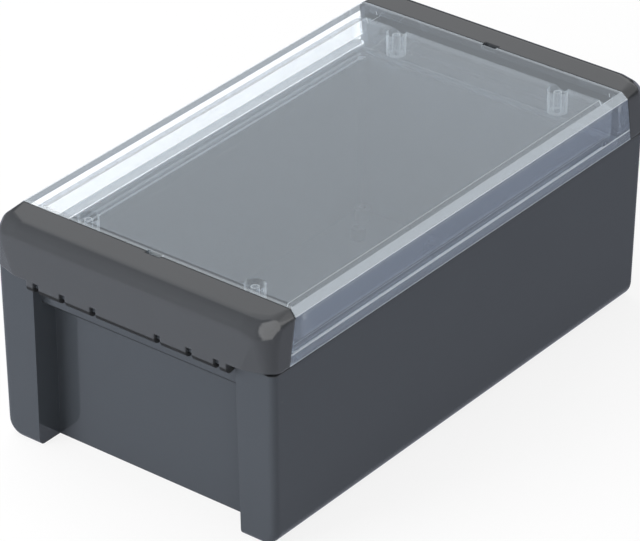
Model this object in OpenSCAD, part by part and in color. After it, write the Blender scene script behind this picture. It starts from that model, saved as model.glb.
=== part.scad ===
// Sealed plastic project box: a tub with four corner posts, a clear lid, and a
// snap closure at each end that hooks on a hinge rod and clamps the lid down.
// X is the width, Y the length, Z is up; the origin is the centre of the underside.

/* [Box] */
// Length over the two closures
box_l = 231; // [200:1:300]
// Width of the box
box_w = 125; // [110:1:160]
// Height with the lid on
box_h = 92; // [84:1:120]
// Height of the lid above the parting line
lid_h = 20.8; // [18.8:0.2:28]

/* [Base] */
// Thickness of the long side walls at the rim
side_wall = 4; // [3.4:0.1:4.6]
// Thickness of the end walls at the rim
end_wall = 3.7; // [3.2:0.1:4.2]
// Thickness of the floor
floor_t = 3; // [2:0.1:5]
// Inward draft of each long side over the height of the base
side_draft = 0.5; // [0.2:0.1:1]
// Inward draft of the posts' front faces
post_draft = 1.6; // [0.4:0.1:2]
// Inward draft of the end walls
end_draft = 1; // [0.4:0.1:1.4]
// Radius of the long bottom edges
bottom_r = 6.7; // [5:0.1:9]
// Radius of the edge round each post's front face
post_edge_r = 2.7; // [1.5:0.1:3.5]
// How far the posts' front faces stand back from the closures
post_setback = 4.1; // [3.4:0.1:5]
// How far the end walls stand back from the closures
end_setback = 15.8; // [14.8:0.1:17.4]
// Width of each post at the rim
post_w = 16.7; // [15:0.1:19]
// Inner corner radius of the tub
tub_r = 4; // [3:0.1:6]
// Height of the lip that hangs under the rim at each end
lip_h = 12; // [9:0.1:15]
// Distance of the lip's face from the closures' front
lip_setback = 8.8; // [8.4:0.1:9.6]
// Thickness of the lip and the rim deck
lip_t = 2.4; // [1.8:0.1:2.6]

/* [Screw holes] */
// Diameter of the fixing screws' holes in the floor of the posts
screw_d = 4.5; // [3:0.1:5]
// Diameter of the well for the screw's head
head_d = 8; // [6.5:0.1:8.4]
// Thickness of the floor under the screw's head
head_floor = 6; // [4:0.5:12]
// Distance of the screw holes from the sides of the box
screw_side = 8.2; // [8:0.1:9.2]
// Distance of the screw holes from the closures' front
screw_end = 11.5; // [11.2:0.1:11.8]

/* [Stand-offs] */
// Height of the stand-offs above the floor
standoff_h = 5; // [3:0.5:12]
// Outer diameter of a stand-off
standoff_d = 6.8; // [5.5:0.1:8]
// Diameter of a stand-off's screw hole
standoff_hole = 3; // [2:0.1:3.6]

/* [Lid] */
// Thickness of the lid's top
lid_top_t = 2.7; // [2:0.1:3.5]
// Size of the chamfer along the lid's long top edges
lid_edge = 2.5; // [1.2:0.1:3]
// Distance of the lid's end edge from the closures' front, on the top face
lid_end_top = 16.63; // [15.6:0.1:17.2]
// Distance of the lid's end edge from the closures' front, at the parting line
lid_end_low = 13.05; // [12.4:0.1:13.8]
// Height of the lid's foot flange, where it sits on the rim
lid_flange_h = 3.3; // [2.8:0.1:4.4]
// Thickness of the lid's long side walls above the foot
lid_wall_t = 2.2; // [1.6:0.1:2.6]
// Height above the parting line where the thicker foot of the side walls starts
foot_h = 4.4; // [3.6:0.1:6]
// Height of the slope from the foot to the wall
foot_slope = 2.1; // [1:0.1:4]
// Width of the cove between the ceiling and the side walls
cove_w = 6.3; // [3:0.1:8]
// Height of the cove
cove_h = 3; // [1.5:0.1:4]
// How far the end walls' inner faces lean in towards the ceiling
end_lean = 1.4; // [0.6:0.1:2]
// Thickness of the end walls
lid_end_t = 2.2; // [1.6:0.1:2.6]
// How far the lid's collar reaches down inside the rim
collar_drop = 1.2; // [0.8:0.1:4]
// Thickness of the collar
collar_t = 1.2; // [1:0.1:3]
// Outer diameter of the lid's bosses
boss_d = 7.7; // [6:0.1:9]
// Diameter of the hole in a boss
boss_hole = 3.2; // [2:0.1:4]
// Length of the bosses under the lid's top
boss_h = 9; // [5:0.5:12]
// Distance between bosses across the width
boss_dx = 75; // [60:1:90]
// Distance between bosses along the length
boss_dy = 180; // [150:1:184]

/* [Seal] */
// Width of the seal
seal_w = 1.4; // [1:0.1:1.6]
// Height of the seal
seal_h = 1.6; // [1.2:0.1:2]

/* [Closures] */
// Wall thickness of a closure
closure_t = 2.6; // [2:0.1:3]
// Radius of the closure's long top edge
closure_edge_r = 6.4; // [5:0.1:7]
// Radius of the closure's upper corners
closure_corner_r = 8; // [7:0.1:9.5]
// How far the lower corners fall back from the front
corner_setback = 3.9; // [3:0.1:4.5]
// Radius of the lower corners
corner_r = 3; // [2:0.1:4]
// Height of the set back corners above the parting line
corner_h = 5.8; // [4:0.1:7]
// Half width of the row of hinge fingers
finger_half = 45; // [44:0.1:45.4]
// Width of the notches that the hinge webs stand in
notch_w = 2.7; // [2.5:0.1:3.2]
// Height of the notches and the corners above the parting line
notch_top = 1.2; // [0.9:0.1:1.6]
// Width of the slot for the screwdriver
slot_w = 6.4; // [5:0.2:10]
// How far the slot reaches into the lid
slot_in_lid = 1.2; // [0.8:0.1:2]
// How far the slot reaches into the closure
slot_in_closure = 1.1; // [0.6:0.1:1.8]
// Thickness of the ledge inside a closure, over the hinge
ledge_t = 1.4; // [1:0.1:2]

/* [Hinge] */
// Radius of the hinge rod
rod_r = 1.2; // [1:0.05:1.4]
// Wall of the hooks round the rod
hook_t = 1.44; // [1.2:0.02:1.5]
// Height of the rod's centre below the parting line
rod_drop = 0.9; // [0.6:0.1:1.3]
// Thickness of the webs that carry the rod
web_t = 2; // [1.6:0.1:2.1]
// Height of the webs where they leave the lip
web_h = 7.4; // [5:0.1:9]

/* [Clearances] */
// Radial clearance of the hooks on the rod
rod_gap = 0.06; // [0.02:0.01:0.1]
// Clearance between a closure and the pieces beside it
closure_gap = 0.2; // [0.1:0.05:0.4]
// Gap between the lid and the rim that the seal bridges
rim_gap = 0.15; // [0.05:0.05:0.3]
// Clearance between the lid's collar and the tub's wall
collar_gap = 0.3; // [0.2:0.05:0.6]

/* [Hidden] */
$fn = 48;
eps = 0.01;
big = 400;

part_z = box_h - lid_h;
half_w = box_w / 2;
half_l = box_l / 2;
post_y = half_l - post_setback;
end_y = half_l - end_setback;
post_x = half_w - post_w;
lip_y = half_l - lip_setback;
tub_x = half_w - side_wall;
tub_y = end_y - end_wall;
lid_top_y = half_l - lid_end_top;
lid_low_y = half_l - lid_end_low;
lid_base_z = part_z + rim_gap;
ceiling_z = box_h - lid_top_t;
hook_r = rod_r + rod_gap + hook_t;
rod_y = half_l - hook_r;
rod_z = part_z - rod_drop;
// centres of the three hinge webs on each side of the middle
web_x = [14.55, 28.6, 40.7];
// stand-offs in one quarter of the floor
standoffs = [[52.3, 89.1], [44.6, 76.1], [15.2, 85]];
// centre line radius of the seal's corners
seal_r = 3.5;
// taper of the posts' inner sides over their height
post_taper = 0.6;
// the closure's top edge stops this far from its sides, where the corners begin
edge_stop = 11.5;
// radius of the shoulder under each corner ball, and its distance from the front
shoulder_r = 5.2;
shoulder_setback = 9.2;
// how far the plates over the posts reach in behind the ledge
plate_reach = 2;
// how far a closure's walls are drawn down before its underside is cut
skirt = 10;
// the flat front runs this far past the row of fingers
front_margin = 1.3;
// the underside of the closure starts to rise this far behind the posts' front
rise_start = 4;
// shelf under the lid's edge: drop from the ceiling, thickness, ends and reach
shelf_drop = 0.4;
shelf_t = 2.6;
shelf_stop = 4;
shelf_reach = 2.9;
// groove in the shelf: distance from the lid's edge, width and depth
groove_off = 0.35;
groove_w = 1.5;
groove_d = 1.3;
// nose on the closure that snaps into the groove
nose_w = 1.1;
nose_drop = 1.4;
nose_h = 2;
snap_gap = (groove_w - nose_w) / 2;
// solid end of the hook row at each side
hook_end = 0.8;
// mouth through which the hooks snap over the rod
mouth_h = 2.3;

module rounded_rect(w, l, r) {
  square([w, l - 2 * r], center = true);
  square([w - 2 * r, l], center = true);
  for (x = [-1, 1], y = [-1, 1])
    translate([x * (w / 2 - r), y * (l / 2 - r)]) circle(r);
}

// Draws an outline of width and height and extrudes it along the length
module along_y(l) {
  rotate([90, 0, 0]) translate([0, 0, -l / 2]) linear_extrude(l) children();
}

// Draws an outline of length and height and extrudes it along the width
module along_x(w) {
  rotate([90, 0, 90]) translate([0, 0, -w / 2]) linear_extrude(w) children();
}

module rod_shape(w, r) {
  translate([-w / 2, rod_y, rod_z]) rotate([0, 90, 0]) cylinder(h = w, r = r);
}

module four_corners(dx, dy) {
  for (x = [-1, 1], y = [-1, 1]) translate([x * dx / 2, y * dy / 2, 0]) children();
}

// Outline of the base from the front, drawn in by an inset all round
module front_outline(inset) {
  xs = half_w - side_draft - inset;
  rise = 1.2 * part_z;
  xt = xs + side_draft * rise / (part_z - bottom_r);
  top_z = bottom_r + rise;
  r = bottom_r - inset;
  polygon([[-xt, top_z], [-xs, bottom_r], [-xs + r, inset],
           [xs - r, inset], [xs, bottom_r], [xt, top_z]]);
  for (x = [-1, 1]) translate([x * (xs - r), bottom_r]) circle(r);
}

// Rounded front end of the base, leaning back by the posts' draft
module post_front() {
  lean = atan(post_draft / part_z);
  translate([0, post_y, part_z]) rotate([-lean, 0, 0])
    translate([0, 0, -part_z / cos(lean) - 0.1])
      for (a = [0:18:90])
        translate([0, -post_edge_r * (1 - cos(90 - a)) - eps, 0]) rotate([90, 0, 0])
          linear_extrude(eps) front_outline(post_edge_r * (1 - sin(90 - a)));
}

module base_outer() {
  intersection() {
    hull() for (m = [0, 1]) mirror([0, m, 0]) post_front();
    translate([-big / 2, -big / 2, 0]) cube([big, big, part_z]);
  }
}

module tub_hollow() {
  intersection() {
    along_y(2 * half_l) polygon([
      [-tub_x, part_z + eps], [-tub_x + side_draft, floor_t],
      [tub_x - side_draft, floor_t], [tub_x, part_z + eps]]);
    along_x(box_w) polygon([
      [-tub_y, part_z + eps], [-tub_y + end_draft, floor_t],
      [tub_y - end_draft, floor_t], [tub_y, part_z + eps]]);
    linear_extrude(box_h) rounded_rect(2 * tub_x, 2 * tub_y, tub_r);
  }
}

// Bay between the two posts of one end, with the lip and its channel left standing
module end_bay() {
  lip_z = part_z - lip_h;
  wall_foot = end_y - end_draft;
  intersection() {
    along_y(2 * half_l) polygon([
      [-post_x - post_taper, -eps], [-post_x, part_z + eps],
      [post_x, part_z + eps], [post_x + post_taper, -eps]]);
    along_x(box_w) {
      polygon([[wall_foot, -eps], [end_y, lip_z], [end_y, part_z - lip_t],
               [lip_y - lip_t, part_z - lip_t], [lip_y - lip_t, lip_z],
               [lip_y, lip_z], [lip_y, part_z + eps], [half_l, part_z + eps],
               [half_l, -eps]]);
    }
  }
}

// Stiffening webs in the channel behind the lip
module channel_webs() {
  for (x = web_x, s = [-1, 1])
    translate([s * x - web_t / 2, end_y - end_draft, part_z - lip_h])
      cube([web_t, lip_y - end_y, lip_h - lip_t + eps]);
}

// Webs that stand out from the lip through the closure's notches to the hinge rod
module hinge_webs() {
  for (x = web_x, s = [-1, 1]) translate([s * x, 0, 0])
    along_x(web_t) {
      translate([rod_y, rod_z]) circle(rod_r);
      polygon([[lip_y - lip_t / 2, part_z - web_h], [lip_y - lip_t / 2, rod_z - rod_r / 2],
               [rod_y, rod_z + rod_r], [rod_y, rod_z - rod_r]]);
    }
  rod_shape(2 * (finger_half - hook_end - 0.1), rod_r);
}

module base() color([0.29, 0.31, 0.34]) {
  difference() {
    union() {
      difference() {
        base_outer();
        tub_hollow();
        for (m = [0, 1]) mirror([0, m, 0]) end_bay();
      }
      for (m = [0, 1]) mirror([0, m, 0]) {
        channel_webs();
        hinge_webs();
      }
      for (p = standoffs, x = [-1, 1], y = [-1, 1])
        translate([x * p[0], y * p[1], floor_t - eps])
          cylinder(h = standoff_h + eps, d = standoff_d);
    }
    for (p = standoffs, x = [-1, 1], y = [-1, 1])
      translate([x * p[0], y * p[1], floor_t]) cylinder(h = box_h, d = standoff_hole);
    four_corners(box_w - 2 * screw_side, box_l - 2 * screw_end) {
      translate([0, 0, -1]) cylinder(h = box_h, d = screw_d);
      translate([0, 0, head_floor]) cylinder(h = box_h, d = head_d);
    }
  }
}

// Outline of the lid from the front, with its chamfered edges
module lid_section(low_z) {
  polygon([[-half_w, low_z], [-half_w, box_h - lid_edge], [-half_w + lid_edge, box_h],
           [half_w - lid_edge, box_h], [half_w, box_h - lid_edge], [half_w, low_z]]);
}

// Outline of the lid from the side, grown outward by a gap
module lid_side(gap, low_z, high_z) {
  slope = (lid_low_y - lid_top_y) / lid_h;
  y_low = lid_low_y + gap + slope * (part_z - low_z);
  y_high = lid_low_y + gap + slope * (part_z - high_z);
  polygon([[-y_low, low_z], [-y_high, high_z], [y_high, high_z], [y_low, low_z]]);
}

module seal_ring(w, z0, z1) {
  cx = half_w - side_wall / 2;
  cy = tub_y + side_wall / 2;
  translate([0, 0, z0]) linear_extrude(z1 - z0) difference() {
    rounded_rect(2 * cx + w, 2 * cy + w, seal_r + w / 2);
    rounded_rect(2 * cx - w, 2 * cy - w, seal_r - w / 2);
  }
}

// Shelf with a groove that the closure's nose snaps into
module snap_shelf() {
  translate([-half_w + shelf_stop, tub_y, ceiling_z - shelf_drop - shelf_t]) difference() {
    cube([box_w - 2 * shelf_stop, lid_top_y + shelf_reach - tub_y, shelf_t]);
    translate([-1, lid_top_y + groove_off - tub_y, shelf_t - groove_d])
      cube([box_w, groove_w, groove_d + 1]);
  }
}

// Room inside the lid: thicker foot, straight walls, and a cove under the ceiling
module lid_hollow() {
  foot_x = tub_x - collar_gap;
  wall_x = half_w - lid_wall_t;
  end_foot = tub_y - collar_gap;
  end_top = end_foot - end_lean;
  foot_z = part_z + foot_h;
  wall_z = foot_z + foot_slope;
  cove_z = ceiling_z - cove_h;
  intersection() {
    along_y(box_l) polygon([
      [-foot_x, part_z - 1], [-foot_x, foot_z], [-wall_x, wall_z], [-wall_x, cove_z],
      [-wall_x + cove_w, ceiling_z], [wall_x - cove_w, ceiling_z], [wall_x, cove_z],
      [wall_x, wall_z], [foot_x, foot_z], [foot_x, part_z - 1]]);
    along_x(box_w) polygon([
      [-end_foot, part_z - 1], [-end_top, cove_z], [-end_top + cove_h / 2, ceiling_z],
      [end_top - cove_h / 2, ceiling_z], [end_top, cove_z], [end_foot, part_z - 1]]);
    linear_extrude(box_h) rounded_rect(2 * wall_x, 2 * end_foot, tub_r);
  }
}

// Pocket between an end wall and the closure
module lid_pocket() {
  wall_foot = tub_y - collar_gap + lid_end_t;
  low = part_z + lid_flange_h;
  high = ceiling_z - cove_h;
  along_x(2 * (half_w - lid_wall_t)) polygon([
    [wall_foot, low], [wall_foot - end_lean, high], [half_l, high], [half_l, low]]);
}

module lid() color([0.78, 0.83, 0.87, 0.4]) {
  collar_z = part_z - collar_drop;
  cx = tub_x - collar_gap;
  cy = tub_y - collar_gap;
  difference() {
    union() {
      difference() {
        intersection() {
          along_y(box_l) lid_section(lid_base_z);
          along_x(box_w) lid_side(0, lid_base_z, box_h);
        }
        lid_hollow();
        for (m = [0, 1]) mirror([0, m, 0]) lid_pocket();
      }
      for (m = [0, 1]) mirror([0, m, 0]) snap_shelf();
      // collar inside the rim
      translate([0, 0, collar_z]) linear_extrude(part_z + collar_t - collar_z) difference() {
        rounded_rect(2 * cx + eps, 2 * cy + eps, tub_r);
        rounded_rect(2 * (cx - collar_t), 2 * (cy - collar_t), tub_r - 1);
      }
      four_corners(boss_dx, boss_dy)
        translate([0, 0, ceiling_z - boss_h]) cylinder(h = boss_h + eps, d = boss_d);
    }
    four_corners(boss_dx, boss_dy)
      translate([0, 0, ceiling_z - boss_h - 1]) cylinder(h = boss_h, d = boss_hole);
    seal_ring(seal_w, part_z - 1, part_z + seal_h);
    // screwdriver slots in the end edges
    for (m = [0, 1]) mirror([0, m, 0])
      translate([-slot_w / 2, lid_top_y - slot_in_lid, ceiling_z + 1])
        cube([slot_w, slot_in_lid + 1, lid_top_t]);
  }
}

module lid_seal() color([0.75, 0.77, 0.79]) {
  seal_ring(seal_w, part_z, part_z + seal_h);
}

// Solid that bounds a closure: long round top edge, ball-shaped upper corners and
// lower corners that fall back towards the posts
module closure_form(inset) {
  e = closure_edge_r;
  c = closure_corner_r;
  low_z = part_z - skirt;
  // the edge beside the lid's chamfer; the inside has no such edge
  chamfer = inset > 0 ? eps : lid_edge;
  hull() {
    translate([0, half_l - e, box_h - e]) rotate([0, 90, 0])
      cylinder(h = box_w - 2 * edge_stop, r = e - inset, center = true, $fn = 40);
    translate([-finger_half - front_margin, half_l - inset - 1, low_z])
      cube([2 * (finger_half + front_margin), 1, 1]);
    for (s = [-1, 1]) {
      translate([s * (half_w - c), half_l - c, box_h - c]) sphere(c - inset, $fn = 40);
      translate([s * (half_w - shoulder_r), half_l - shoulder_setback, box_h - shoulder_r])
        sphere(shoulder_r - inset, $fn = 40);
      translate([s * (half_w - corner_r), half_l - corner_setback - corner_r, low_z])
        cylinder(h = skirt + corner_h, r = max(corner_r - inset, 0.4), $fn = 40);
      translate([s * (half_w - lid_edge), lid_top_y - 2, box_h - lid_edge])
        rotate([90, 0, 0]) linear_extrude(1)
          polygon([[0, 0], [s * chamfer, 0], [0, chamfer]]);
      translate([s * (half_w - inset - 1) - 1, lid_top_y - 3, low_z])
        cube([2, 1, 1]);
    }
  }
}

// Everything below the closure's lower edges
module closure_underside() {
  low = closure_gap;
  for (s = [0, 1]) mirror([s, 0, 0])
    translate([finger_half + half_w / 2, 0, 0]) along_x(half_w) polygon([
      [0, -1], [0, part_z + low], [post_y - rise_start, part_z + low],
      [post_y, part_z + notch_top], [half_l + 1, part_z + notch_top],
      [half_l + 1, -1]]);
  translate([-finger_half - eps, 0, -1])
    cube([2 * finger_half + 2 * eps, half_l + 1, rod_z + 1]);
}

// Ledge from the hooks back to the lip, which closes the gap over the hinge, and
// plates from it to the sides, which close the gaps over the posts
module closure_ledge() {
  front = lip_y + collar_gap;
  reach = half_l - closure_t / 2 - front;
  side = half_w - closure_t / 2;
  translate([-post_x, front, part_z + 2 * closure_gap]) cube([2 * post_x, reach, ledge_t]);
  difference() {
    for (m = [0, 1]) mirror([m, 0, 0])
      translate([post_x - 1, front - plate_reach, part_z])
        cube([side - post_x + 1, reach + plate_reach, notch_top + ledge_t]);
    closure_underside();
  }
}

// Nose under the closure's edge that snaps behind the lid's shelf
module snap_nose() {
  translate([-half_w + shelf_stop + 1, lid_top_y + groove_off + snap_gap,
             ceiling_z - nose_drop])
    cube([box_w - 2 * (shelf_stop + 1), nose_w, nose_h]);
}

module closure() {
  difference() {
    union() {
      difference() {
        closure_form(0);
        closure_form(closure_t);
        translate([-half_w + closure_t, 0, part_z - 20])
          cube([box_w - 2 * closure_t, lid_top_y + 6, ceiling_z - part_z + 20]);
        closure_underside();
      }
      intersection() {
        union() {
          closure_ledge();
          snap_nose();
        }
        closure_form(0.5);
      }
      rod_shape(2 * finger_half, hook_r);
    }
    // face against the lid's end
    along_x(box_w + 2) lid_side(closure_gap, part_z - 30, box_h + 10);
    // room for the lid's shelf and foot flange
    translate([-half_w + closure_t, 0, part_z - 1])
      cube([box_w - 2 * closure_t, lid_low_y + closure_gap, lid_flange_h + 1.5]);
    difference() {
      translate([-half_w + closure_t, 0, ceiling_z - shelf_drop - shelf_t - 2 * closure_gap])
        cube([box_w - 2 * closure_t, lid_top_y + shelf_reach + 2 * closure_gap,
              shelf_t + 3 * closure_gap]);
      snap_nose();
    }
    // this side of the screwdriver slot, above the nose
    translate([-slot_w / 2, lid_top_y - 1, ceiling_z - nose_drop + nose_h])
      cube([slot_w, 1 + closure_gap + slot_in_closure, lid_top_t]);
    // bore and mouth of the hooks
    rod_shape(2 * (finger_half - hook_end), rod_r + rod_gap);
    translate([-finger_half + hook_end, rod_y - 4, rod_z - mouth_h / 2])
      cube([2 * (finger_half - hook_end), 4, mouth_h]);
    for (x = web_x, s = [-1, 1])
      translate([s * x - notch_w / 2, rod_y - 4, rod_z - 5])
        cube([notch_w, 10, 5 + rod_drop + notch_top]);
  }
}

module front_closure() color([0.4, 0.41, 0.43]) mirror([0, 1, 0]) closure();

module rear_closure() color([0.4, 0.41, 0.43]) closure();

base();
lid();
lid_seal();
front_closure();
rear_closure();
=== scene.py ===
# %% [markdown]
# This lesson dresses a plastic project box: a dark tub on corner posts, a clear lid, and a snap
# closure along each short end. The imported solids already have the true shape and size, so they
# come in first and stay where they are. What is left for Blender is the finish of each plastic,
# the light, and the camera.

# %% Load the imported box
import math

import bpy
from mathutils import Matrix, Vector

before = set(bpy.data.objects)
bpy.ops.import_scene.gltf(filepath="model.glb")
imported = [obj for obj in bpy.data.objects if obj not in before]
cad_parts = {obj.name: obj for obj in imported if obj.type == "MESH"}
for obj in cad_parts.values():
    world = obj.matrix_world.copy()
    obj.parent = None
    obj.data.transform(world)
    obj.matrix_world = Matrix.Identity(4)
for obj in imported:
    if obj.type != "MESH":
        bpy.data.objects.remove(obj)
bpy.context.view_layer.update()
scene = bpy.context.scene
scene.view_settings.view_transform = "Standard"
print("pieces of the box:", sorted(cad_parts))

# %% [markdown]
# The photograph was taken from far away with a long lens, so the edges of the box stay almost
# parallel. A camera on a ring round the object is easiest to set by its compass angle, its height
# above the horizon and its distance, with a small roll added last. Three vectors at right angles
# (back, right and up) then make its matrix. The numbers come from a fit to about thirty edges and
# corners of the box, whose length and width were known.

# %% Place the camera
MM = 0.001
view_azimuth = math.radians(37.774)
view_elevation = math.radians(30.451)
view_roll = math.radians(0.176)
view_distance = 1549.4 * MM
view_target = Vector((5.35, -12.30, 47.01)) * MM
lens_length = 239.49  # millimetres, on a sensor 36 mm wide

view_back = Vector((math.sin(view_azimuth) * math.cos(view_elevation),
                    -math.cos(view_azimuth) * math.cos(view_elevation),
                    math.sin(view_elevation)))
level_right = Vector((math.cos(view_azimuth), math.sin(view_azimuth), 0))
level_up = view_back.cross(level_right)
view_right = math.cos(view_roll) * level_right + math.sin(view_roll) * level_up
view_up = view_back.cross(view_right)

camera_data = bpy.data.cameras.new("long_lens")
camera_data.sensor_width = 36
camera_data.lens = lens_length
camera_data.clip_end = 20
camera = bpy.data.objects.new("long_lens", camera_data)
scene.collection.objects.link(camera)
camera.matrix_world = (Matrix.Translation(view_target + view_distance * view_back)
                       @ Matrix((view_right, view_up, view_back)).transposed().to_4x4())
scene.camera = camera
print("camera at", [round(v, 3) for v in camera.location])


# %% [markdown]
# Every finish below is a node tree. A few helpers keep them short: one makes a material with its
# shader ready, one adds a node, sets its inputs and links what it is given, and one turns a colour
# from a chart into the linear numbers that a shader wants. The last two make a soft mask from a
# range of millimetres, and a sum or product of two values.

# %% Helpers for materials
def new_material(name):
    """A node material and its Principled shader."""
    material = bpy.data.materials.new(name)
    material.use_nodes = True
    return material, material.node_tree.nodes["Principled BSDF"]


def add_node(material, kind, inputs=None, **settings):
    """Adds a node. An input value may be a number, a colour or another node's output."""
    node = material.node_tree.nodes.new(kind)
    for key, value in settings.items():
        setattr(node, key, value)
    for key, value in (inputs or {}).items():
        if isinstance(value, bpy.types.NodeSocket):
            material.node_tree.links.new(value, node.inputs[key])
        else:
            node.inputs[key].default_value = value
    return node


def linear(red, green, blue):
    """A colour from the 0-255 numbers of a colour chart, as the shader wants it."""
    return tuple(((c / 255 + 0.055) / 1.055) ** 2.4 for c in (red, green, blue)) + (1,)


def band(material, value, low, high, soft=0.1):
    """One inside low..high (in millimetres) and zero outside, with soft ends."""
    rise = add_node(material, "ShaderNodeMapRange", {
        "Value": value, "From Min": (low - soft) * MM, "From Max": (low + soft) * MM})
    fall = add_node(material, "ShaderNodeMapRange", {
        "Value": value, "From Min": (high - soft) * MM, "From Max": (high + soft) * MM,
        "To Min": 1.0, "To Max": 0.0})
    both = add_node(material, "ShaderNodeMath", {
        0: rise.outputs["Result"], 1: fall.outputs["Result"]}, operation="MULTIPLY")
    return both.outputs[0]


def calculate(material, operation, first, second):
    """The output of one Math node."""
    node = add_node(material, "ShaderNodeMath", {0: first, 1: second}, operation=operation)
    return node.outputs[0]


# %% [markdown]
# The tub and the closures are moulded polycarbonate from a polished tool that has lost its mirror
# finish. The surface is nearly smooth, with a very fine grain that only blurs the reflections, and
# wide soft waves from the mould's cooling that bend them a little. Grain and waves are two noise
# textures of different size, both on object coordinates, so they stay fixed to the plastic.
#
# A moulded edge is never quite sharp. The Bevel node turns the normal near each edge towards its
# neighbour, so that light sees a small radius where the mesh has none, and the facets of the
# closures' ball-shaped corners melt into one highlight. Bevelled geometry would do the same, but
# the imported solids keep their shape.
#
# Slits between two pieces look black, because no light gets out of them. A range of heights that
# lies in such a slit gets painted shade: a darker colour and a matt surface. The lower edge of the
# lip that hangs under the rim at each end shows no highlight, so it gets the same painted shade.

# %% Moulded plastic
tint_change = 0.04  # the colour wanders by this share from place to place
rough_change = 0.02
# painted shade in a slit keeps this share of the plastic's colour
slit_painted_shade = 0.25  # the share of its colour that the plastic keeps in a dark slit
slit_roughness = 0.8


def moulded_plastic(name, colour, roughness, rounding, painted_shade_places):
    """Polished plastic. Light sees its edges rounded by a radius in millimetres. It gets painted
    shade, darker and matt, in each listed place, which is a range of height and a range of
    distance from the middle towards the ends (in millimetres)."""
    material, shader = new_material(name)
    place = add_node(material, "ShaderNodeTexCoord").outputs["Object"]
    shade = add_node(material, "ShaderNodeTexNoise", {"Vector": place, "Scale": 18.0, "Detail": 3.0})
    tint = add_node(material, "ShaderNodeMix", {"Factor": shade.outputs["Fac"]}, data_type="RGBA")
    tint.inputs[6].default_value = tuple(c * (1 - tint_change) for c in colour[:3]) + (1,)
    tint.inputs[7].default_value = tuple(c * (1 + tint_change) for c in colour[:3]) + (1,)
    grain = add_node(material, "ShaderNodeTexNoise", {"Vector": place, "Scale": 2600.0, "Detail": 2.0})
    rough = add_node(material, "ShaderNodeMapRange", {
        "Value": grain.outputs["Fac"], "To Min": roughness - rough_change,
        "To Max": roughness + rough_change})
    waves = add_node(material, "ShaderNodeTexNoise", {"Vector": place, "Scale": 30.0, "Detail": 1.0})
    soft_edge = add_node(material, "ShaderNodeBevel", {"Radius": rounding * MM}, samples=6)
    wave_bump = add_node(material, "ShaderNodeBump", {
        "Height": waves.outputs["Fac"], "Strength": 0.05, "Distance": 0.0004,
        "Normal": soft_edge.outputs["Normal"]})
    grain_bump = add_node(material, "ShaderNodeBump", {
        "Height": grain.outputs["Fac"], "Strength": 0.06, "Distance": 0.00005,
        "Normal": wave_bump.outputs["Normal"]})
    spot = add_node(material, "ShaderNodeSeparateXYZ", {0: place})
    end = calculate(material, "ABSOLUTE", spot.outputs["Y"], 0.0)
    # painted shade: each listed place darkens the colour and makes the surface matt
    painted_shade_mask = 0.0
    for low, high, near, far in painted_shade_places:
        here = calculate(material, "MULTIPLY", band(material, spot.outputs["Z"], low, high),
                         band(material, end, near, far))
        painted_shade_mask = calculate(material, "ADD", painted_shade_mask, here)
    painted_shade_tint = add_node(material, "ShaderNodeMix", {"Factor": painted_shade_mask}, data_type="RGBA")
    painted_shade_tint.inputs[7].default_value = tuple(c * slit_painted_shade for c in colour[:3]) + (1,)
    final_rough = add_node(material, "ShaderNodeMix", {
        0: painted_shade_mask, 2: rough.outputs["Result"], 3: slit_roughness})
    links = material.node_tree.links
    links.new(tint.outputs[2], painted_shade_tint.inputs[6])
    links.new(painted_shade_tint.outputs[2], shader.inputs["Base Color"])
    links.new(final_rough.outputs[0], shader.inputs["Roughness"])
    links.new(grain_bump.outputs["Normal"], shader.inputs["Normal"])
    shader.inputs["IOR"].default_value = 1.5
    return material


# painted shade in the slit under the lid, on the lip's lower edge and round the hinges
painted_shade_on_tub = [(70.85, 71.3, -1, 111.6),  # slit between rim and lid
               (59.1, 59.5, 106.5, 106.9)]  # lower edge of the lip at each end
painted_shade_on_closure = [(60.0, 70.2, 100, 120)]  # slits between the fingers, round the hinge
tub_plastic = moulded_plastic("anthracite_plastic", linear(60, 64, 69), 0.04, 0.2, painted_shade_on_tub)
closure_plastic = moulded_plastic("graphite_plastic", linear(62, 64, 67), 0.04, 0.9,
                                  painted_shade_on_closure)
print("moulded plastics:", tub_plastic.name, "and", closure_plastic.name)

# %% [markdown]
# The lid is clear polycarbonate. Its walls are thin and parallel, so they hardly shift what is
# behind them, and what the eye sees is the light that each surface mirrors. Real glass in the
# render would be true to that as well, but the many thin walls behind each other make it slow and
# noisy. Every surface is therefore mostly transparent, with a mirror on top that grows towards
# grazing angles as Schlick's rule says. The chamfer and the side walls mirror more of the room.

# %% Clear lid: its mirror
gloss = 2.45  # the polished walls mirror this much more than one plain surface would
head_on = 0.05  # what such a surface mirrors of light that meets it head on
chamfer_sum = 151.8  # side and height, in millimetres, add up to more than this on the chamfer
chamfer_mirror = 0.25
side_wall_mirror = 0.13
most_mirror = 0.5


def mirror_share(material, slant, side, height):
    """The share of light that the lid mirrors, from the slant at which it is seen."""
    steep = calculate(material, "POWER", slant, 5.0)
    schlick = add_node(material, "ShaderNodeMath", {0: steep, 1: 1 - head_on, 2: head_on},
                       operation="MULTIPLY_ADD")
    share = calculate(material, "MULTIPLY", schlick.outputs[0], gloss)
    diagonal = calculate(material, "ADD", side, height)
    chamfer = add_node(material, "ShaderNodeMapRange", {
        "Value": diagonal, "From Min": (chamfer_sum - 0.1) * MM,
        "From Max": (chamfer_sum + 0.1) * MM, "To Min": 0.0, "To Max": chamfer_mirror})
    side_wall = calculate(material, "MULTIPLY", band(material, side, 60.0, 63.0), side_wall_mirror)
    share = calculate(material, "ADD", share, chamfer.outputs["Result"])
    share = calculate(material, "ADD", share, side_wall)
    return calculate(material, "MINIMUM", share, most_mirror)


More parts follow.
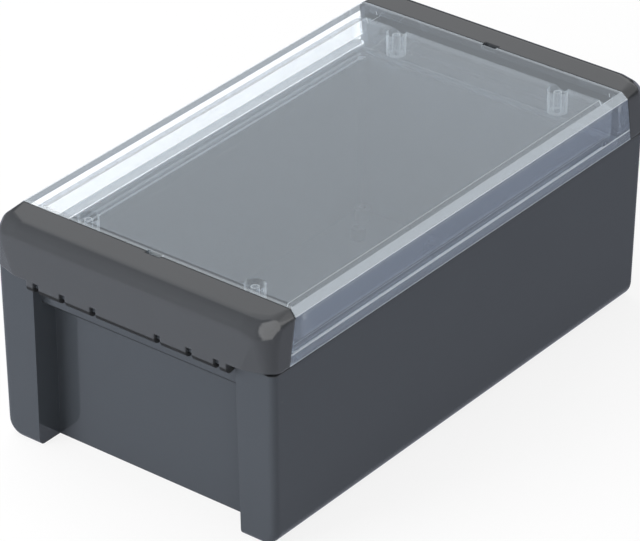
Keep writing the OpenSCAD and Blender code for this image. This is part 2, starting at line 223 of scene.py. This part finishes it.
# %% [markdown]
# Clear plastic also leads light along its walls and lets it out at edges, chamfers and bosses,
# which is why they look brighter than the flat faces. That brightness is a painted highlight: a
# thin white veil laid on those places only. Each of its places is where two masks overlap, with an
# amount. The masks are ranges in millimetres: of the height, of the distance from the middle to
# the side or to the end, and of the distance from the axis of a boss.

# %% Clear lid: painted highlights at its edges
boss_side, boss_end = 37.5, 90.0  # the bosses stand this far from the middle


def boss_highlight_mask(material, side, end, height, slant):
    """The bosses' walls, where a painted highlight goes, brightest where they turn away from the eye.
    """
    off_side = calculate(material, "SUBTRACT", side, boss_side * MM)
    off_end = calculate(material, "SUBTRACT", end, boss_end * MM)
    squares = calculate(material, "ADD", calculate(material, "MULTIPLY", off_side, off_side),
                        calculate(material, "MULTIPLY", off_end, off_end))
    distance = calculate(material, "SQRT", squares, 0.0)
    wall = calculate(material, "MULTIPLY", band(material, distance, 1.0, 4.0, 0.05),
                     band(material, height, 80.0, 89.2))
    rim_light = calculate(material, "ADD", calculate(material, "POWER", slant, 2.0), 0.05)
    return wall, rim_light


def slot_mask(material, side, end, inner_side):
    """The front wall of the screwdriver slot, seen from outside, which gets a painted highlight."""
    slot = calculate(material, "MULTIPLY", band(material, side, -1.0, 3.3),
                     band(material, end, 97.5, 97.9, 0.05))
    return calculate(material, "MULTIPLY", slot, calculate(material, "SUBTRACT", 1.0, inner_side))


def painted_highlight_places(material, side, end, height, slant, inner_side):
    """All places of painted highlight: two masks and an amount for each."""
    def heights(low, high, soft=0.1):
        return band(material, height, low, high, soft)

    def sides(low, high, soft=0.1):
        return band(material, side, low, high, soft)

    def ends(low, high):
        return band(material, end, low, high)

    boss_wall, rim_light = boss_highlight_mask(material, side, end, height, slant)
    # each entry below is a painted highlight on the lid
    return [
        (heights(86.2, 89.2), sides(54.0, 60.4), 0.08),  # cove under the ceiling
        (heights(86.2, 89.2), sides(54.0, 54.4, 0.05), 1.0),  # its upper edge
        (heights(86.1, 86.5, 0.05), sides(60.0, 60.5), 0.25),  # its lower edge
        (heights(89.4, 89.75, 0.05), sides(62.0, 63.0), 0.5),  # lower edge of the chamfer
        (heights(75.25, 76.0), sides(62.0, 63.0), 0.8),  # bright line above the foot
        (heights(71.4, 75.2), sides(62.0, 63.0), 0.08),  # outside of the foot
        (heights(74.8, 75.2, 0.05), sides(58.0, 58.4), 0.35),  # upper edge of the foot
        (heights(73.7, 74.0, 0.05), sides(58.0, 58.4), 0.25),  # middle of the foot
        (heights(70.15, 71.1, 0.05), sides(56.0, 58.1), 1.0),  # collar
        (heights(71.3, 71.7, 0.05), sides(62.0, 63.0), 0.5),  # edge at the parting line
        (heights(71.2, 71.45, 0.03), sides(-1.0, 63.0), 0.12),  # underside
        (heights(72.6, 86.2), ends(91.0, 99.0), 0.03),  # end walls
        (heights(86.2, 89.2), ends(93.3, 95.3), 0.2),  # top of the end walls
        (heights(91.8, 92.2), ends(97.5, 99.2), 0.3),  # upper edge at each end
        (heights(90.2, 91.9), slot_mask(material, side, end, inner_side), 0.4),  # slots
        (boss_wall, rim_light, 1.3),  # bosses
    ]


# %% [markdown]
# Where a wall changes thickness it bends light from the dark tub into the eye instead. Seen
# against a white room such a place is grey, so two places get a grey shade in the same way: the
# top of each side wall where it is seen from inside, and the slope above the foot. Backfacing
# tells the shader that it sees a surface from inside the plastic.

# %% Clear lid: grey shade
def shade_places(material, side, height, inner_side):
    """The places that look grey: two masks and an amount for each."""
    seen_inside = calculate(material, "MULTIPLY", inner_side, band(material, side, 62.0, 63.0))
    return [
        (band(material, height, 86.9, 89.5), seen_inside, 0.85),
        (band(material, height, 75.7, 77.7), band(material, side, 58.0, 60.4), 0.75),
    ]


def add_up(material, places, total):
    """A starting share and the shares of all places together."""
    for first, second, amount in places:
        part = calculate(material, "MULTIPLY", first, second)
        total = calculate(material, "ADD", total, calculate(material, "MULTIPLY", part, amount))
    return total


# %% [markdown]
# The whole finish puts these together in layers. At the bottom is the plain see-through plastic
# with its grey shade, then the white veil of painted highlights, which is lit from both sides, and
# on top the mirror. A slow ripple bends the mirrored lines a little, as on a moulded sheet.

# %% Clear lid: the whole finish
clear_colour = (0.985, 0.993, 1.0, 1)
shade_colour = (0.10, 0.12, 0.14, 1)
painted_highlight_colour = (0.9, 0.96, 1.0, 1)
mirror_colour = (0.84, 0.92, 1.0, 1)


def clear_plastic(name, haze):
    """Transparent, with a grey shade, a white veil of painted highlights and a mirror, each by its own
    share.
    """
    material = bpy.data.materials.new(name)
    material.use_nodes = True
    tree = material.node_tree
    tree.nodes.remove(tree.nodes["Principled BSDF"])
    place = add_node(material, "ShaderNodeTexCoord").outputs["Object"]
    slant = add_node(material, "ShaderNodeLayerWeight", {"Blend": 0.5}).outputs["Facing"]
    inner_side = add_node(material, "ShaderNodeNewGeometry").outputs["Backfacing"]
    spot = add_node(material, "ShaderNodeSeparateXYZ", {0: place})
    side = calculate(material, "ABSOLUTE", spot.outputs["X"], 0.0)
    end = calculate(material, "ABSOLUTE", spot.outputs["Y"], 0.0)
    height = spot.outputs["Z"]

    shade_share = add_up(material, shade_places(material, side, height, inner_side), 0.0)
    clear = add_node(material, "ShaderNodeMix", {"Factor": shade_share}, data_type="RGBA")
    clear.inputs[6].default_value = clear_colour
    clear.inputs[7].default_value = shade_colour
    see_through = add_node(material, "ShaderNodeBsdfTransparent", {"Color": clear.outputs[2]})

    # the white veil that carries the painted highlights
    lit_front = add_node(material, "ShaderNodeBsdfDiffuse", {"Color": painted_highlight_colour})
    lit_back = add_node(material, "ShaderNodeBsdfTranslucent", {"Color": painted_highlight_colour})
    painted_highlight_veil = add_node(material, "ShaderNodeMixShader", {
        0: 0.5, 1: lit_front.outputs["BSDF"], 2: lit_back.outputs["BSDF"]})
    places = painted_highlight_places(material, side, end, height, slant, inner_side)
    body = add_node(material, "ShaderNodeMixShader", {
        0: add_up(material, places, haze), 1: see_through.outputs["BSDF"],
        2: painted_highlight_veil.outputs["Shader"]})

    ripple = add_node(material, "ShaderNodeTexNoise", {"Vector": place, "Scale": 25.0, "Detail": 1.0})
    bump = add_node(material, "ShaderNodeBump", {
        "Height": ripple.outputs["Fac"], "Strength": 0.015, "Distance": 0.0003})
    shine = add_node(material, "ShaderNodeBsdfGlossy", {
        "Color": mirror_colour, "Roughness": 0.03, "Normal": bump.outputs["Normal"]})
    surface = add_node(material, "ShaderNodeMixShader", {
        0: mirror_share(material, slant, side, height),
        1: body.outputs["Shader"], 2: shine.outputs["BSDF"]})
    tree.links.new(surface.outputs["Shader"], tree.nodes["Material Output"].inputs["Surface"])
    return material


lid_plastic = clear_plastic("clear_polycarbonate", haze=0.01)
print(lid_plastic.name, "has", len(lid_plastic.node_tree.nodes), "nodes")

# %% [markdown]
# The seal is a soft translucent cord. Rubber scatters light inside, so it gets a little
# subsurface light and a rough skin with a fine grain.

# %% Seal rubber
def seal_rubber(name):
    """Rough rubber with a fine grain that lets some light in."""
    material, shader = new_material(name)
    place = add_node(material, "ShaderNodeTexCoord").outputs["Object"]
    grain = add_node(material, "ShaderNodeTexNoise", {"Vector": place, "Scale": 1500.0, "Detail": 2.0})
    bump = add_node(material, "ShaderNodeBump", {
        "Height": grain.outputs["Fac"], "Strength": 0.1, "Distance": 0.0001})
    material.node_tree.links.new(bump.outputs["Normal"], shader.inputs["Normal"])
    shader.inputs["Base Color"].default_value = linear(96, 103, 112)
    shader.inputs["Roughness"].default_value = 0.55
    shader.inputs["Subsurface Weight"].default_value = 0.2
    shader.inputs["Subsurface Scale"].default_value = 0.002
    return material


silicone = seal_rubber("translucent_silicone")
print("seal:", silicone.name)


# %% [markdown]
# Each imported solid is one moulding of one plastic, so it gets one finish all over. The two
# closures come from the same mould and share theirs.

# %% Dress the solids
def dress(node, material):
    """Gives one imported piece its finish."""
    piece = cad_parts[node]
    piece.data.materials.clear()
    piece.data.materials.append(material)
    print(node, "wears", material.name, "on", len(piece.data.polygons), "faces")


dress("base", tub_plastic)
dress("front_closure", closure_plastic)
dress("rear_closure", closure_plastic)
dress("lid", lid_plastic)
dress("lid_seal", silicone)

# %% [markdown]
# A product photograph on white has a large bright panel above and behind the object. The panel is
# what the top faces mirror, and a round lamp on the right lights the rounded corners, while the
# other edges mirror a darker room. The world gives this room: for mirrored rays its strength
# follows the direction, for plain lighting it is even and lower, and where the camera looks past
# the box it is pure white. Seen through the lid it is a little stronger, which makes up for what
# the lid's surfaces hold back.

# %% White room
world = bpy.data.worlds.new("white_room")
scene.world = world
world.use_nodes = True
even_light = 0.38
white_per_surface = 0.36  # the white grows by this for each clear surface it is seen through


def room_glow(direction, towards, edge_low, edge_high, dark, bright):
    """A round patch of light in the room, with a soft edge between two cosines."""
    facing = add_node(world, "ShaderNodeVectorMath", {0: direction, 1: towards},
                      operation="DOT_PRODUCT")
    patch = add_node(world, "ShaderNodeMapRange", {
        "Value": facing.outputs["Value"], "From Min": edge_low, "From Max": edge_high,
        "To Min": dark, "To Max": bright}, interpolation_type="SMOOTHSTEP")
    return patch.outputs["Result"]


def looked_at(material):
    """One for rays from the camera, straight or through the lid, and the white they see."""
    path = add_node(material, "ShaderNodeLightPath")
    seen = calculate(material, "MAXIMUM", path.outputs["Is Camera Ray"],
                     path.outputs["Is Transmission Ray"])
    white = add_node(material, "ShaderNodeMath", {
        0: path.outputs["Transparent Depth"], 1: white_per_surface, 2: 1.0},
        operation="MULTIPLY_ADD")
    return path, seen, white.outputs[0]


direction = add_node(world, "ShaderNodeTexCoord").outputs["Generated"]
panel = room_glow(direction, (0.0, 0.707, 0.707), 0.72, 0.81, 0.05, 0.87)
round_lamp = room_glow(direction, (0.79, -0.17, 0.59), 0.6, 0.74, 0.0, 2.7)
path, seen, white = looked_at(world)
mirrored_room = add_node(world, "ShaderNodeMix", {
    0: path.outputs["Is Glossy Ray"], 2: even_light,
    3: calculate(world, "MAXIMUM", panel, round_lamp)})
room = add_node(world, "ShaderNodeMix", {0: seen, 2: mirrored_room.outputs[0], 3: white})
background = world.node_tree.nodes["Background"]
background.inputs["Color"].default_value = (1, 1, 1, 1)
world.node_tree.links.new(room.outputs[0], background.inputs["Strength"])
print("room:", len(world.node_tree.nodes), "nodes, even light", even_light)

# %% [markdown]
# The box stands on a pale table. For the camera the table is mostly a plain white glow, so that
# it runs into the background, and the rest of it is an ordinary surface that catches the shadow.
# Mirrored in the glossy sides, the table is a dimmer and slightly blue grey.

# %% Floor
table_glow = 0.85  # the share of the table that the camera sees as plain white


def plain_floor(size):
    """A square table under the box. It is stage, not a piece of the box."""
    bpy.ops.object.select_all(action="DESELECT")
    bpy.ops.mesh.primitive_plane_add(size=size, location=(0, 0, 0))
    floor = bpy.context.object
    floor.name = "table_top"
    material, shader = new_material("white_table")
    shader.inputs["Base Color"].default_value = (0.86, 0.86, 0.86, 1)
    shader.inputs["Roughness"].default_value = 0.7
    path, seen, white = looked_at(material)
    glow = add_node(material, "ShaderNodeEmission", {"Color": (1, 1, 1, 1), "Strength": white})
    dim_glow = add_node(material, "ShaderNodeEmission", {"Color": (0.40, 0.42, 0.49, 1)})
    mirrored = add_node(material, "ShaderNodeMixShader", {
        0: path.outputs["Is Glossy Ray"], 1: shader.outputs["BSDF"],
        2: dim_glow.outputs["Emission"]})
    mix = add_node(material, "ShaderNodeMixShader", {
        0: calculate(material, "MULTIPLY", seen, table_glow),
        1: mirrored.outputs["Shader"], 2: glow.outputs["Emission"]})
    output = material.node_tree.nodes["Material Output"]
    material.node_tree.links.new(mix.outputs["Shader"], output.inputs["Surface"])
    floor.data.materials.append(material)
    print("table:", size, "m wide")


plain_floor(6.0)


# %% [markdown]
# Three soft boxes give the shading: a weak one overhead, a stronger one in front for the recessed
# end, and a small one on the right for the long side. They are large and near, so their shadows
# are soft. They are hidden from mirrored rays, because the room already has its bright panel.

# %% Soft boxes
def soft_box(name, place, size, watts):
    """A square lamp that looks at the middle of the box."""
    lamp = bpy.data.lights.new(name, "AREA")
    lamp.shape = "SQUARE"
    lamp.size = size
    lamp.energy = watts
    holder = bpy.data.objects.new(name, lamp)
    scene.collection.objects.link(holder)
    holder.location = place
    aim = Vector((0, 0, 0.05)) - Vector(place)
    holder.rotation_euler = aim.to_track_quat("-Z", "Y").to_euler()
    holder.visible_glossy = False
    print(name, "at", place, "with", watts, "W")


soft_box("overhead_box", (-0.5, 0.1, 1.3), 1.0, 12)
soft_box("front_box", (-0.75, -1.3, 0.5), 1.0, 26)
soft_box("recess_box", (0.9, -1.1, 0.4), 0.6, 5)
